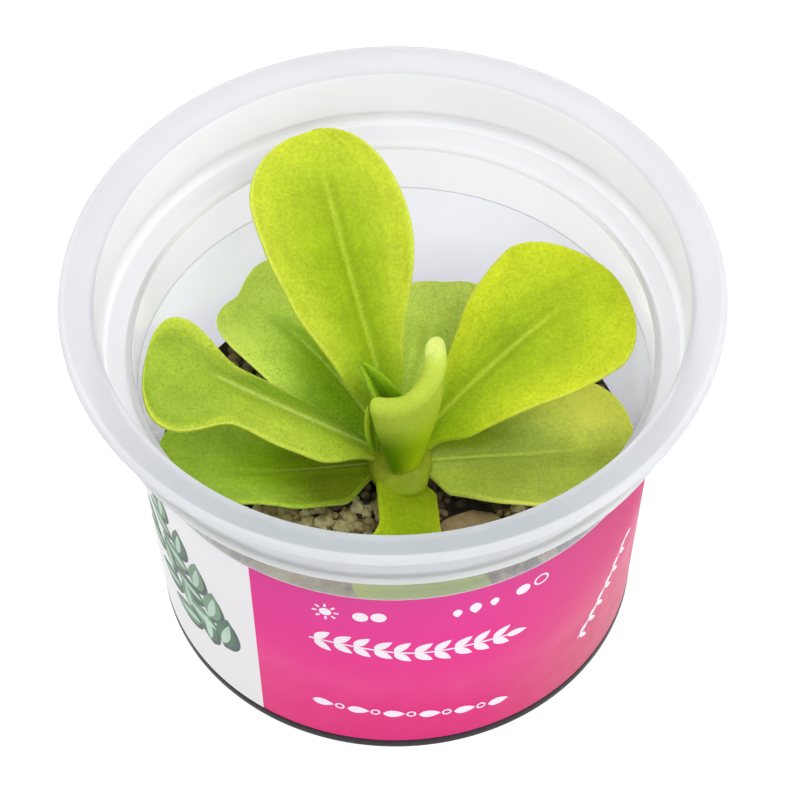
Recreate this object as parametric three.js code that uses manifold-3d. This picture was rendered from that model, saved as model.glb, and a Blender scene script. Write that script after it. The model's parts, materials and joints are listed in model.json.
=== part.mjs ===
// A young butterwort, grown in a round lidless tub.
// Millimetres, +Z up, with the middle of the tub's foot at the origin.
import * as THREE from "three";
import { mergeVertices } from "three/addons/utils/BufferGeometryUtils.js";
import Module from "manifold-3d";

const wasm = await Module();
wasm.setup();

// ---- Driving dimensions ----
const GAP = 0.3; // clearance between pieces that touch

const TUB = {
  height: 66.7,
  flangeRadius: 49.8, // the broad flat rim that a lid would close on
  mouthRadius: 44.4,
  lipDrop: 1.3, // rounding of the mouth's edge
  beadDrop: 1.8, // from the top down to where the flange leaves the collar
  collarRadius: 45.2, // the wide upper part of the wall, outside
  ledgeHeight: 54.4, // where the collar steps in to the body
  ledgeSwell: 0.45, // of the small roll under the collar
  bodyRadius: 36.8, // of the tapered body, outside, at the surface it stands on
  footRadius: 37.55, // of the rim round the foot, which the label rests on
  footHeight: 1.8, // of that rim
  footRing: 34, // inner radius of the ring that it stands on
  footHollow: 0.8, // height of the underside inside that ring
  floor: 1.4, // height of the floor inside
  taper: 0.069, // growth of the body's radius per millimetre of height
  wall: 1.0,
  corner: 0.5, // usual rounding
  segments: 60,
};
const LABEL = { bottom: 2.1, top: 43.8, thickness: 0.4 };
const SOIL = {
  top: 23.4, // of the plug that the grains are set on
  highestGrain: 25.9,
  grains: 120,
  grainSize: [2.7, 2.5, 1.7], // half-axes of the smallest grain
  growth: [1.0, 1.0, 0.8], // by how much the largest is larger
  jitter: 0.5,
  sink: 0.4,
  lean: 0.25,
  seed: 7,
  segments: 48,
};
const CROWN = {
  x: 0.7,
  y: -3.5,
  radius: 3.0,
  rootRadius: 3.5,
  bottom: 12,
  top: 34.6,
  hole: 3.9, // radius of the hole in the mix
  segments: 20,
};

const GOLDEN_ANGLE = Math.PI * (3 - Math.sqrt(5));

// ---- Leaves ----
// A leaf's midrib starts at the crown, level with z, towards the heading (degrees from +X, anticlockwise
// from above) and at the rise above the horizon. bend and arch are what the heading and the rise gain on the
// way to the tip. width is the widest measure across, at the share "widest" of the length; from "neck" on,
// the blade widens from its petiole, which is the share "petiole" of that width. A larger tip makes the end
// squarer. fold and cup turn both halves up, roll and twist turn the whole blade about its midrib, and skew
// widens the left half, seen outwards. wave is the height of the margin's waves and waves their number. lip
// turns the outermost rim up. base is half the petiole's width where it meets the crown, and spread is the
// share of the length over which it takes the blade's width. Small leaves may also have away, how far from
// the crown's axis they grow; from, where round the crown in degrees, if not towards the heading; and root,
// the thickness there.
const LEAVES = {
  leaf_back_tall: {
    z: 33.2, heading: 109.8, bend: -4, rise: 43.5, arch: -14.5, length: 47.6, width: 27,
    neck: 0.03, widest: 0.7, tip: 2.0, petiole: 0.34, base: 2.4, spread: 0.18,
    fold: -1, cup: 34, roll: 21.2, twist: -17.1, skew: 0.13, wave: 1.1, waves: 1.8, lip: 0,
  },
  leaf_right: {
    z: 31.4, heading: 28.9, bend: 6.8, rise: 47.5, arch: -43.2, length: 40.3, width: 31.2,
    neck: -0.06, widest: 0.76, tip: 1.64, petiole: 0.28, base: 2.2, spread: 0.18,
    fold: -5, cup: 16, roll: -14.8, twist: 12.8, skew: -0.03, wave: 0.3, waves: 2.5, lip: 0,
  },
  leaf_left: {
    z: 31.4, heading: 179, bend: -10.5, rise: 38.5, arch: -11, length: 40.7, width: 22.9,
    neck: 0.6, widest: 0.85, tip: 2.3, petiole: 0.53, base: 2.0, spread: 0.27,
    fold: -6, cup: -2, roll: 14, twist: -9.5, skew: 0.19, wave: 0.2, waves: 2, lip: 40,
  },
  leaf_lower_left: {
    z: 28.6, heading: 188, bend: 0, rise: 1.5, arch: 17, length: 35, width: 21.8,
    neck: -0.07, widest: 0.6, tip: 2.4, petiole: 0.72, base: 2.0, spread: 0.2,
    fold: 5.5, cup: 21, roll: 2, twist: 10, skew: -0.05, wave: 0.25, waves: 2, lip: 0,
  },
  leaf_lower_right: {
    z: 28.6, heading: -1, bend: 0, rise: 7, arch: -1, length: 33.2, width: 23.4,
    neck: 0, widest: 0.62, tip: 2.4, petiole: 0.52, base: 2.2, spread: 0.14,
    fold: 4, cup: 18, roll: 8.5, twist: -0.5, skew: 0.05, wave: 0.25, waves: 2, lip: 0,
  },
  leaf_back_left: {
    z: 29.2, heading: 124, bend: 11.4, rise: 25, arch: -40, length: 37.4, width: 20.4,
    neck: 0, widest: 0.51, tip: 3.1, petiole: 0.48, base: 1.5, spread: 0.2,
    fold: 9, cup: 22.8, roll: -12.5, twist: -2.9, skew: -0.05, wave: 0.15, waves: 2, lip: 0,
  },
  leaf_back_right: {
    z: 29.2, heading: 75, bend: 3.2, rise: 22, arch: -37, length: 32.2, width: 20,
    neck: 0, widest: 0.66, tip: 2.4, petiole: 0.3, base: 1.3, spread: 0.18,
    fold: 1.5, cup: 7, roll: -3, twist: -8.4, skew: 0.06, wave: 0.3, waves: 1.5, lip: 0,
  },
  leaf_front: {
    z: 28.6, heading: 273.5, bend: 0, rise: 8.5, arch: -8, length: 29, width: 23,
    neck: 0.3, widest: 0.76, tip: 2.1, petiole: 0.43, base: 3.9, spread: 0.08,
    fold: 0.5, cup: 12, roll: -21, twist: 3.5, skew: 0.12, wave: 0.3, waves: 2, lip: 0,
  },
  leaf_small_centre: {
    z: 35.3, heading: 135, bend: 6, rise: 62, arch: -10, length: 14.3, width: 6.8,
    neck: -0.2, widest: 0.42, tip: 1.4, petiole: 0.6, base: 1.6, spread: 0.18,
    fold: 34, cup: 22, roll: 0, twist: 0, skew: 0, wave: 0, waves: 1, lip: 0, away: 0.4,
  },
  leaf_small_left: {
    z: 34.2, heading: 104, bend: 4, rise: 68, arch: -6, length: 7.8, width: 2.8,
    neck: -0.1, widest: 0.5, tip: 1.6, petiole: 0.6, base: 0.8, spread: 0.2,
    fold: 24, cup: 12, roll: 0, twist: 0, skew: 0, wave: 0, waves: 1, lip: 0,
    away: 4.2, from: 204, root: 1.3,
  },
};
const BLADE = {
  rows: 10, // up to the widest place
  tipRows: 7, // beyond it
  columns: [-1, -0.86, -0.62, -0.32, 0, 0.32, 0.62, 0.86, 1], // shares of the half-width, right to left
  root: 2.0, // thickness of the petiole at the crown
  rootMargin: 1.2,
  rib: 1.3, // thickness along the midrib
  margin: 0.7, // thickness at the edge
  tipHalfWidth: 0.35,
  steps: 60, // of the midrib's curve
  sectionSteps: 16,
  rightPhase: 1.9, // the right margin's waves run out of step with the left one's
  formed: 0.5, // share of the length by which the petiole's thick, flat form has passed into the blade's
  rootCup: 0.2, // share of the cup that the petiole has
  thinning: 0.7, // share of the length from which the rib thins towards the tip
  rimFrom: 0.75, // share of the half-width from which a lip turns up
  lipFrom: 0.6, // shares of the length between which it rises
  lipFull: 0.8,
};

// The young curled leaf wraps the front of the crown. Its rim runs from the lobe on the left to the tip on
// the right as a few points on a smooth curve, and is rolled into a thick edge. Its foot is a short arc round
// the crown, from which it flares towards the rim.
const CURLED = {
  rim: [
    [-3.6, -6.2, 46.2],
    [-1.1, -6.6, 46.2],
    [1.9, -5.8, 45.8],
    [4.6, -3.4, 46.6],
    [6.3, -0.4, 48.7],
    [6.3, 2.4, 51.0],
  ],
  footHeight: 30.55,
  footFrom: 254, // degrees round the crown from +X
  footTo: 314,
  footPoints: 5,
  flare: 1.35, // power of the share of the way up by which the blade has taken the rim's place
  belly: 1.1, // how far the blade swells forward between foot and rim
  heights: [0, 0.25, 0.5, 0.72, 0.86], // shares of the way up where the blade has a row of points
  thickness: 1.1,
  rimRadius: 1.75,
  endRadius: 0.66,
  roundedEnd: 0.08, // share of the rim over which the rolled edge thins out at either end
  rollFrom: -12, // degrees round the rolled edge, from its front
  rollSweep: 232,
  rollPoints: 8,
  swellFrom: 0.2, // share of the way up from which the front thickens towards the roll
  stations: 14,
};

// ---- Helpers ----
const { degToRad: rad, lerp, clamp, smoothstep } = THREE.MathUtils;
const smooth = (t) => smoothstep(t, 0, 1);
const bodyRadius = (z) => TUB.bodyRadius + TUB.taper * z;
const innerRadius = (z) => bodyRadius(z) - TUB.wall;

function seeded(seed) {
  let state = seed >>> 0;
  return () => {
    state = (state + 0x6d2b79f5) >>> 0;
    let t = Math.imul(state ^ (state >>> 15), 1 | state);
    t = (t + Math.imul(t ^ (t >>> 7), 61 | t)) ^ t;
    return ((t ^ (t >>> 14)) >>> 0) / 4294967296;
  };
}

// A solid of revolution about +Z from a profile of [radius, height] points.
function turned(profile, segments = TUB.segments) {
  const points = profile.map(([r, z]) => new THREE.Vector2(r, z));
  return new THREE.LatheGeometry(points, segments).rotateX(Math.PI / 2);
}

function solidOf(geometry) {
  const bare = geometry.clone();
  bare.deleteAttribute("normal");
  bare.deleteAttribute("uv");
  const merged = mergeVertices(bare, 1e-4);
  return new wasm.Manifold(
    new wasm.Mesh({
      numProp: 3,
      vertProperties: merged.attributes.position.array,
      triVerts: new Uint32Array(merged.index.array),
    }),
  );
}

function geometryOf(solid) {
  const { vertProperties, triVerts } = solid.getMesh();
  return new THREE.BufferGeometry()
    .setAttribute("position", new THREE.BufferAttribute(vertProperties, 3))
    .setIndex(new THREE.BufferAttribute(triVerts, 1));
}

// A closed skin over rings of points: each ring runs out along one face and back along the other. Both faces
// are split along the same diagonals, and the end rings are closed by strips between facing points.
function skinOver(rings) {
  const count = rings[0].length;
  const positions = rings.flat().flatMap((p) => [p.x, p.y, p.z]);
  const index = [];
  const quad = (a, b, c, d) => index.push(a, b, c, a, c, d);
  for (let i = 0; i + 1 < rings.length; i++)
    for (let j = 0; j < count; j++) {
      const k = (j + 1) % count;
      const corners = [i * count + j, i * count + k, (i + 1) * count + k, (i + 1) * count + j];
      if (j >= count / 2) corners.push(corners.shift());
      quad(...corners);
    }
  const last = (rings.length - 1) * count;
  for (let j = 0; j + 1 < count / 2; j++) {
    const far = count - 1 - j;
    quad(j, far, far - 1, j + 1);
    quad(last + j, last + j + 1, last + far - 1, last + far);
  }
  const geometry = new THREE.BufferGeometry();
  geometry.setAttribute("position", new THREE.Float32BufferAttribute(positions, 3));
  return geometry.setIndex(index);
}

// ---- Tub, label, soil, crown ----
function tubGeometry() {
  const { height, flangeRadius, mouthRadius, lipDrop, beadDrop, collarRadius, ledgeHeight, ledgeSwell } = TUB;
  const { footRing, footHollow, footRadius, footHeight, floor, wall, corner } = TUB;
  const half = corner / 2;
  const bodyTop = ledgeHeight - corner;
  const foot = [
    [0, footHollow],
    [footRing - footHollow, footHollow],
    [footRing, 0],
    [footRadius - half, 0],
    [footRadius, half],
    [footRadius, footHeight - half],
    [footRadius - half, footHeight],
    [bodyRadius(footHeight), footHeight],
    [bodyRadius(bodyTop), bodyTop],
  ];
  const collar = [
    [collarRadius, ledgeHeight + half],
    [collarRadius + ledgeSwell, ledgeHeight + corner],
    [collarRadius + ledgeSwell, ledgeHeight + 3 * corner],
    [collarRadius, ledgeHeight + 4 * corner],
    [collarRadius, height - beadDrop],
  ];
  const flange = [
    [flangeRadius - 3 * corner, height - beadDrop + corner],
    [flangeRadius - corner, height - beadDrop + half],
    [flangeRadius, height - beadDrop + corner],
    [flangeRadius, height - corner],
    [flangeRadius - half, height - half],
    [flangeRadius - 3 * half, height],
    [mouthRadius + 4 * corner, height],
    [mouthRadius + corner, height - corner],
    [mouthRadius, height - lipDrop],
  ];
  const inside = [
    [collarRadius - wall - corner, ledgeHeight + 3 * corner],
    [collarRadius - wall - 2 * corner, ledgeHeight + corner],
    [innerRadius(ledgeHeight) + 2 * corner, ledgeHeight + half],
    [innerRadius(ledgeHeight), ledgeHeight - half],
    [innerRadius(floor) + half / 2, floor + 3 * corner],
    [innerRadius(floor) - 2 * corner, floor + corner],
    [innerRadius(floor) - 6 * corner, floor],
    [0, floor],
  ];
  return turned([...foot, ...collar, ...flange, ...inside]);
}

function labelGeometry() {
  const { bottom, top, thickness } = LABEL;
  const inner = (z) => bodyRadius(z) + GAP;
  const outer = (z) => inner(z) + thickness;
  return turned([
    [inner(bottom), bottom],
    [outer(bottom), bottom],
    [outer(top), top],
    [inner(top), top],
    [inner(bottom), bottom],
  ]);
}

// What fills the tub up to a height, clear of its wall and floor.
function filling(top) {
  const { floor, corner } = TUB;
  const bottom = floor + GAP;
  const reach = (z) => innerRadius(z) - GAP;
  return solidOf(turned([
    [0, bottom],
    [reach(bottom) - 6 * corner, bottom],
    [reach(bottom) - 2 * corner, bottom + corner],
    [reach(bottom + 3 * corner), bottom + 3 * corner],
    [reach(top), top],
    [0, top],
  ], SOIL.segments));
}

// One angular grain, the i-th of a sunflower spiral on the mix.
function grainAt(i, random) {
  const { grains, grainSize, growth, jitter, sink, lean, top } = SOIL;
  const reach = (innerRadius(top) - 2 * jitter) * Math.sqrt((i + 0.5) / grains);
  const angle = i * GOLDEN_ANGLE;
  const size = new THREE.Vector3(...grainSize.map((least, axis) => least + growth[axis] * random()));
  const turn = new THREE.Euler(lean * (2 * random() - 1), lean * (2 * random() - 1), 2 * Math.PI * random());
  const place = new THREE.Vector3(
    reach * Math.cos(angle) + jitter * (2 * random() - 1),
    reach * Math.sin(angle) + jitter * (2 * random() - 1),
    top - sink * random(),
  );
  const pose = new THREE.Matrix4().compose(place, new THREE.Quaternion().setFromEuler(turn), size);
  return solidOf(new THREE.IcosahedronGeometry(1, 0).applyMatrix4(pose));
}

// The mix: a plug with grains fused into its top, and a plain hole for the crown.
function soilGeometry() {
  const random = seeded(SOIL.seed);
  const bottom = CROWN.bottom - GAP;
  const hole = turned([
    [0, bottom],
    [CROWN.hole, bottom],
    [CROWN.hole, TUB.height],
    [0, TUB.height],
  ], CROWN.segments).translate(CROWN.x, CROWN.y, 0);
  let soil = filling(SOIL.top);
  for (let i = 0; i < SOIL.grains; i++) soil = soil.add(grainAt(i, random));
  return geometryOf(soil.intersect(filling(SOIL.highestGrain)).subtract(solidOf(hole)));
}

// The short upright stem that the leaves grow from, rounded off at its root end.
function crownGeometry() {
  const { radius, rootRadius, bottom, top, segments } = CROWN;
  return turned([
    [0, bottom],
    [0.5 * rootRadius, bottom + 0.5],
    [0.8 * rootRadius, bottom + 2.5],
    [rootRadius, bottom + 7],
    [rootRadius, SOIL.top],
    [radius, SOIL.highestGrain + 1],
    [radius, top - 0.6],
    [0.8 * radius, top],
    [0, top],
  ], segments).translate(CROWN.x, CROWN.y, 0);
}

// ---- Leaf blades ----
// Half the blade's width at the share s of its length, as a share of the widest.
function outlineShare(leaf, s) {
  const { neck, widest, tip, petiole } = leaf;
  if (s > widest) {
    const beyond = Math.min((s - widest) / (1 - widest), 1);
    return Math.pow(1 - Math.pow(beyond, tip), 1 / tip);
  }
  return petiole + (1 - petiole) * smooth((s - neck) / (widest - neck));
}

// Shares of the length where the blade has a row of points: even up to the widest place, then by the angle
// round the tip, so that the round end stays round.
function rowShares(leaf) {
  const { rows, tipRows } = BLADE;
  const shares = [];
  for (let i = 0; i < rows; i++) shares.push((leaf.widest * i) / rows);
  for (let i = 0; i <= tipRows; i++) {
    const around = Math.sin((Math.PI / 2) * (i / tipRows));
    shares.push(leaf.widest + (1 - leaf.widest) * Math.pow(around, 2 / leaf.tip));
  }
  return shares;
}

// Along the midrib: the way it goes, the blade's left side and its upper side, all unit vectors.
function axesAt(leaf, s) {
  const heading = rad(leaf.heading + leaf.bend * s);
  const rise = rad(leaf.rise + leaf.arch * s);
  const along = new THREE.Vector3(
    Math.cos(rise) * Math.cos(heading),
    Math.cos(rise) * Math.sin(heading),
    Math.sin(rise),
  );
  const roll = rad(leaf.roll + leaf.twist * s);
  const left = new THREE.Vector3(-Math.sin(heading), Math.cos(heading), 0).applyAxisAngle(along, roll);
  return { along, left, up: new THREE.Vector3().crossVectors(along, left) };
}

const rootThickness = (leaf) => leaf.root ?? BLADE.root;

function rootOf(leaf) {
  const away = leaf.away ?? CROWN.radius + GAP + (rootThickness(leaf) / 2) * Math.sin(rad(leaf.rise));
  const around = rad(leaf.from ?? leaf.heading);
  return new THREE.Vector3(CROWN.x + away * Math.cos(around), CROWN.y + away * Math.sin(around), leaf.z);
}

function midribOf(leaf, shares) {
  const { steps } = BLADE;
  const points = [rootOf(leaf)];
  for (let i = 0; i < steps; i++)
    points.push(
      points[i].clone().addScaledVector(axesAt(leaf, (i + 0.5) / steps).along, leaf.length / steps),
    );
  return shares.map((s) => {
    const at = Math.min(s * steps, steps - 1e-9);
    const i = Math.floor(at);
    return points[i].clone().lerp(points[i + 1], at - i);
  });
}

// How far the half-blade lies sideways of the midrib and above it at the share q of its width, and its slope
// there.
function halfSection(leaf, s, halfWidth, q) {
  const cup = leaf.cup * clamp(s / BLADE.formed, BLADE.rootCup, 1);
  const lip = leaf.lip * smoothstep(s, BLADE.lipFrom, BLADE.lipFull);
  const slope = (x) => rad(leaf.fold + cup * x + lip * smoothstep(x, BLADE.rimFrom, 1));
  const steps = BLADE.sectionSteps;
  let side = 0;
  let lift = 0;
  for (let i = 0; i < steps; i++) {
    const a = slope((q * (i + 0.5)) / steps);
    side += (halfWidth * q * Math.cos(a)) / steps;
    lift += (halfWidth * q * Math.sin(a)) / steps;
  }
  return { side, lift, slope: slope(q) };
}

// Half the blade's width on one side of the midrib (sign 1 is the left).
function halfWidthAt(leaf, s, sign) {
  const full = (leaf.width / 2) * outlineShare(leaf, s) * (1 + leaf.skew * sign);
  const width = lerp(Math.min(leaf.base, full), full, smooth(s / leaf.spread));
  return Math.max(width, BLADE.tipHalfWidth);
}

function thicknessAt(leaf, s, q) {
  const { rootMargin, rib, margin, formed, thinning } = BLADE;
  const grown = lerp(rootThickness(leaf), rib, smoothstep(s, 0, formed));
  const middle = lerp(grown, margin, smoothstep(s, thinning, 1));
  const edge = lerp(rootMargin, margin, smoothstep(s, 0, formed));
  return lerp(middle, edge, smooth(q));
}

function bladeGeometry(leaf) {
  const shares = rowShares(leaf);
  const midrib = midribOf(leaf, shares);
  const rings = shares.map((s, row) => {
    const { left, up } = axesAt(leaf, s);
    const upper = [];
    const lower = [];
    for (const u of BLADE.columns) {
      const q = Math.abs(u);
      const sign = Math.sign(u);
      const { side, lift, slope } = halfSection(leaf, s, halfWidthAt(leaf, s, sign), q);
      const turnsOfWave = 2 * Math.PI * leaf.waves * s + (sign > 0 ? 0 : BLADE.rightPhase);
      const wave = leaf.wave * Math.sin(turnsOfWave) * q * q * smoothstep(s, 0, BLADE.formed);
      const half = thicknessAt(leaf, s, q) / 2;
      const normal = up.clone().multiplyScalar(Math.cos(slope));
      normal.addScaledVector(left, -sign * Math.sin(slope));
      const point = midrib[row].clone().addScaledVector(left, sign * side).addScaledVector(up, lift + wave);
      upper.push(point.clone().addScaledVector(normal, half));
      lower.push(point.clone().addScaledVector(normal, -half));
    }
    return [...lower, ...upper.reverse()];
  });
  return skinOver(rings);
}

// ---- The curled leaf ----
function footOfCurled() {
  const { footHeight, footFrom, footTo, footPoints, thickness } = CURLED;
  const away = CROWN.radius + GAP + thickness / 2;
  const points = [];
  for (let i = 0; i < footPoints; i++) {
    const angle = rad(lerp(footFrom, footTo, i / (footPoints - 1)));
    points.push(new THREE.Vector3(
      CROWN.x + away * Math.cos(angle),
      CROWN.y + away * Math.sin(angle),
      footHeight,
    ));
  }
  return new THREE.CatmullRomCurve3(points);
}

function curledGeometry() {
  const { rim, belly, heights, thickness, rimRadius, endRadius, roundedEnd, stations } = CURLED;
  const { rollFrom, rollSweep, rollPoints, swellFrom, flare } = CURLED;
  const rimLine = new THREE.CatmullRomCurve3(rim.map((point) => new THREE.Vector3(...point)));
  const footLine = footOfCurled();
  const rings = [];
  for (let i = 0; i <= stations; i++) {
    const v = i / stations;
    const low = footLine.getPointAt(v);
    const high = rimLine.getPointAt(v);
    const along = rimLine.getTangentAt(v);
    const up = high.clone().sub(low).normalize();
    const front = new THREE.Vector3().crossVectors(along, up).normalize(); // away from the crown
    const inFromEnd = Math.min(v, 1 - v, roundedEnd) / roundedEnd;
    const radius = lerp(endRadius, rimRadius, Math.sqrt(inFromEnd * (2 - inFromEnd)));
    const swell = Math.max(radius * Math.cos(rad(rollFrom)) - thickness / 2, 0);
    const face = (q, side) => {
      const thickened = side > 0 ? swell * smoothstep(q, swellFrom, 1) : 0;
      const out = belly * Math.sin(Math.PI * q) + (side * thickness) / 2 + thickened;
      const point = low.clone().lerp(high, Math.pow(q, flare));
      point.z = lerp(low.z, high.z, q);
      return point.addScaledVector(front, out);
    };
    const edge = [];
    for (let k = 0; k < rollPoints; k++) {
      const a = rad(rollFrom + (rollSweep * k) / (rollPoints - 1));
      const spoke = front.clone().multiplyScalar(Math.cos(a)).addScaledVector(up, Math.sin(a));
      edge.push(high.clone().addScaledVector(spoke, radius));
    }
    const outer = heights.map((q) => face(q, 1));
    const inner = heights.map((q) => face(q, -1));
    rings.unshift([...outer, ...edge, ...inner.reverse()]);
  }
  return skinOver(rings);
}

// ---- The assembly ----
const MATERIALS = {
  polypropylene: { color: 0xe4e8ec, roughness: 0.35, transparent: true, opacity: 0.35 },
  label: { color: 0xe5509a, roughness: 0.45 },
  soil: { color: 0x6b6153, roughness: 0.95 },
  crown: { color: 0x8fa83a, roughness: 0.6 },
  leaf_bright: { color: 0xb4d22a, roughness: 0.5 },
  leaf_shaded: { color: 0x7f9e22, roughness: 0.55 },
  leaf_young: { color: 0xcfe45a, roughness: 0.45 },
};
const SHADED = ["leaf_lower_left", "leaf_lower_right", "leaf_back_left", "leaf_back_right"];

const plant = new THREE.Group();
plant.name = "butterwort";

function add(name, geometry, look) {
  const mesh = new THREE.Mesh(geometry, new THREE.MeshStandardMaterial({ metalness: 0, ...MATERIALS[look] }));
  mesh.name = name;
  plant.add(mesh);
}

add("tub", tubGeometry(), "polypropylene");
add("label", labelGeometry(), "label");
add("soil", soilGeometry(), "soil");
add("crown", crownGeometry(), "crown");
for (const [name, leaf] of Object.entries(LEAVES))
  add(name, bladeGeometry(leaf), SHADED.includes(name) ? "leaf_shaded" : "leaf_bright");
add("leaf_curled_centre", curledGeometry(), "leaf_young");

export default plant;
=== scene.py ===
"""A young butterwort in a round clear tub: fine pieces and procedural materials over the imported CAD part.

Lengths are in millimetres until a mesh is made, with +Z up and the middle of the tub's foot at the origin.
"""

import json
import math
import random

import bmesh
import bpy
import numpy as np
from mathutils import Matrix, Vector, noise


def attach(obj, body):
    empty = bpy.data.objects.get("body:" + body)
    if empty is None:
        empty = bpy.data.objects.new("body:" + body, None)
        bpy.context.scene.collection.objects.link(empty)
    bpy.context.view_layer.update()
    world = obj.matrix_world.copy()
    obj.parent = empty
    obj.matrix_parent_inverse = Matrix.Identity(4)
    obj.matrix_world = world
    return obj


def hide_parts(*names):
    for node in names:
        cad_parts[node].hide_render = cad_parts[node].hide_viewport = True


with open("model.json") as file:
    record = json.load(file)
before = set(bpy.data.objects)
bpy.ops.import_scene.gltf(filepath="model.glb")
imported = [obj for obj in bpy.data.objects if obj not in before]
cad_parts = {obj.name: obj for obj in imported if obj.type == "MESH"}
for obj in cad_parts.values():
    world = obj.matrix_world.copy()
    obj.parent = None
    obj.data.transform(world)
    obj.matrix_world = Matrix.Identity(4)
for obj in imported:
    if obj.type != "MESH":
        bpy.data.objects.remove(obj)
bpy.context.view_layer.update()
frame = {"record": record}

MM = 0.001

# ---- Dimensions, as in the CAD part ----
TUB = dict(
    height=66.7, flange_radius=49.8, mouth_radius=44.4, lip_drop=1.3, bead_drop=1.8, collar_radius=45.2,
    ledge_height=54.4, ledge_swell=0.45, body_radius=36.8, taper=0.069, wall=1.0, floor=1.4, corner=0.5,
    foot_radius=37.55, foot_height=1.8, foot_ring=34.0, foot_hollow=0.8,
    rounding=0.6, segments=180,  # the rounding is of the corners that only the scene has
)
LABEL = dict(bottom=2.1, top=43.8, gap=0.45, thickness=0.15, segments=240)
PRINT = dict(lift=0.05, depth=0.12)  # how far the print stands off the label, and its thickness
PANEL = (-123.0, -124.4, -195.0)  # degrees round the tub: right edge at the top and at the bottom, left edge
CROWN = dict(x=0.7, y=-3.5, radius=3.0, root_radius=3.5, bottom=12.0, top=34.6, hole=3.9, segments=96)
# The sheath in which the petioles run together: (how far beyond the crown's radius, height) from below.
SHEATH = [(0.4, 26.3), (1.4, 27.2), (2.0, 28.3), (2.1, 29.6), (1.9, 30.8), (1.3, 31.9), (0.5, 33.0)]
MIX = dict(bottom=1.7, level=23.6, grain_top=25.9, wall_gap=0.3, rings=46, segments=150)
GRAINS = dict(
    spread=1500, extra=650, extra_x=(-18, 24), extra_y=(-24, -8.5),
    big_share=0.2, big=(1.0, 1.4), small=(0.5, 0.95), cuts=6, cut_depth=(0.62, 0.86),
)
STONE = (12.2, -13.2, (6.2, 2.9), 24.6)  # the flat chip at the front: middle, half-sizes and height
PIT = (11.0, -9.0, (4.2, 1.3))  # the dark gap behind it, which holds no grains: middle and half-sizes

# Each leaf as in the CAD part: its root, its midrib's course, its outline and how its halves turn.
LEAF_FIELDS = (
    "z heading bend rise arch length width neck widest tip petiole base spread "
    "fold cup roll twist skew wave waves lip"
).split()
LEAVES = {
    "leaf_back_tall": (
        33.2, 109.8, -4, 43.5, -14.5, 47.6, 27, 0.03, 0.7, 2.0, 0.34, 2.4, 0.18,
        -1, 34, 21.2, -17.1, 0.13, 1.1, 1.8, 0,
    ),
    "leaf_right": (
        31.4, 28.9, 6.8, 47.5, -43.2, 40.3, 31.2, -0.06, 0.76, 1.64, 0.28, 2.2, 0.18,
        -5, 16, -14.8, 12.8, -0.03, 0.3, 2.5, 0,
    ),
    "leaf_left": (
        31.4, 179, -10.5, 38.5, -11, 40.7, 22.9, 0.6, 0.85, 2.3, 0.53, 2.0, 0.27,
        -6, -2, 14, -9.5, 0.19, 0.2, 2, 40,
    ),
    "leaf_lower_left": (
        28.6, 188, 0, 1.5, 17, 35, 21.8, -0.07, 0.6, 2.4, 0.72, 2.0, 0.2,
        5.5, 21, 2, 10, -0.05, 0.25, 2, 0,
    ),
    "leaf_lower_right": (
        28.6, -1, 0, 7, -1, 33.2, 23.4, 0, 0.62, 2.4, 0.52, 2.2, 0.14,
        4, 18, 8.5, -0.5, 0.05, 0.25, 2, 0,
    ),
    "leaf_back_left": (
        29.2, 124, 11.4, 25, -40, 37.4, 20.4, 0, 0.51, 3.1, 0.48, 1.5, 0.2,
        9, 22.8, -12.5, -2.9, -0.05, 0.15, 2, 0,
    ),
    "leaf_back_right": (
        29.2, 75, 3.2, 22, -37, 32.2, 20, 0, 0.66, 2.4, 0.3, 1.3, 0.18,
        1.5, 7, -3, -8.4, 0.06, 0.3, 1.5, 0,
    ),
    "leaf_front": (
        28.6, 273.5, 0, 8.5, -8, 29, 23, 0.3, 0.76, 2.1, 0.43, 3.9, 0.08,
        0.5, 12, -21, 3.5, 0.12, 0.3, 2, 0,
    ),
    "leaf_small_centre": (
        35.3, 135, 6, 62, -10, 14.3, 6.8, -0.2, 0.42, 1.4, 0.6, 1.6, 0.18,
        34, 22, 0, 0, 0, 0, 1, 0,
    ),
    "leaf_small_left": (
        34.2, 104, 4, 68, -6, 7.8, 2.8, -0.1, 0.5, 1.6, 0.6, 0.8, 0.2,
        24, 12, 0, 0, 0, 0, 1, 0,
    ),
}
# The small leaves' roots: how far from the crown's axis, where round it in degrees, and how thick.
SMALL_ROOTS = {"leaf_small_centre": (0.4, 135, 2.0), "leaf_small_left": (4.2, 204, 1.3)}
BLADE = dict(
    root=2.0, root_margin=1.2, rib=1.3, margin=0.7, tip_half_width=0.35, right_phase=1.9,
    formed=0.5, root_cup=0.2, thinning=0.7, rim_from=0.75, lip_from=0.6, lip_full=0.8,
)
SURFACE = dict(
    rows=60, tip_rows=34, across=22, rim_across=7, flat_share=0.93,  # how finely a blade is divided
    margin_round=0.5, uneven=0.30, groove=0.22, groove_width=0.55, keel=0.8,
)
GLANDS = dict(
    most=6500, per_area=6.5, radius=(0.03, 0.06), height=(0.12, 0.28),
    start=0.12, dark_start=0.34, end=0.985,  # shares of a leaf's length, also on leaves with a dark petiole
)
CURLED = dict(
    rim=[
        (-3.6, -6.2, 46.2), (-1.1, -6.6, 46.2), (1.9, -5.8, 45.8),
        (4.6, -3.4, 46.6), (6.3, -0.4, 48.7), (6.3, 2.4, 51.0),
    ],
    foot_height=30.55, foot_from=254, foot_to=314, foot_points=5, flare=1.35, belly=1.1, thickness=1.1,
    rim_radius=1.75, end_radius=0.66, rounded_end=0.08, roll_from=-12, roll_sweep=232, swell_from=0.2,
    stations=64, heights=26, highest=0.87, turns=26,
)

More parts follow.
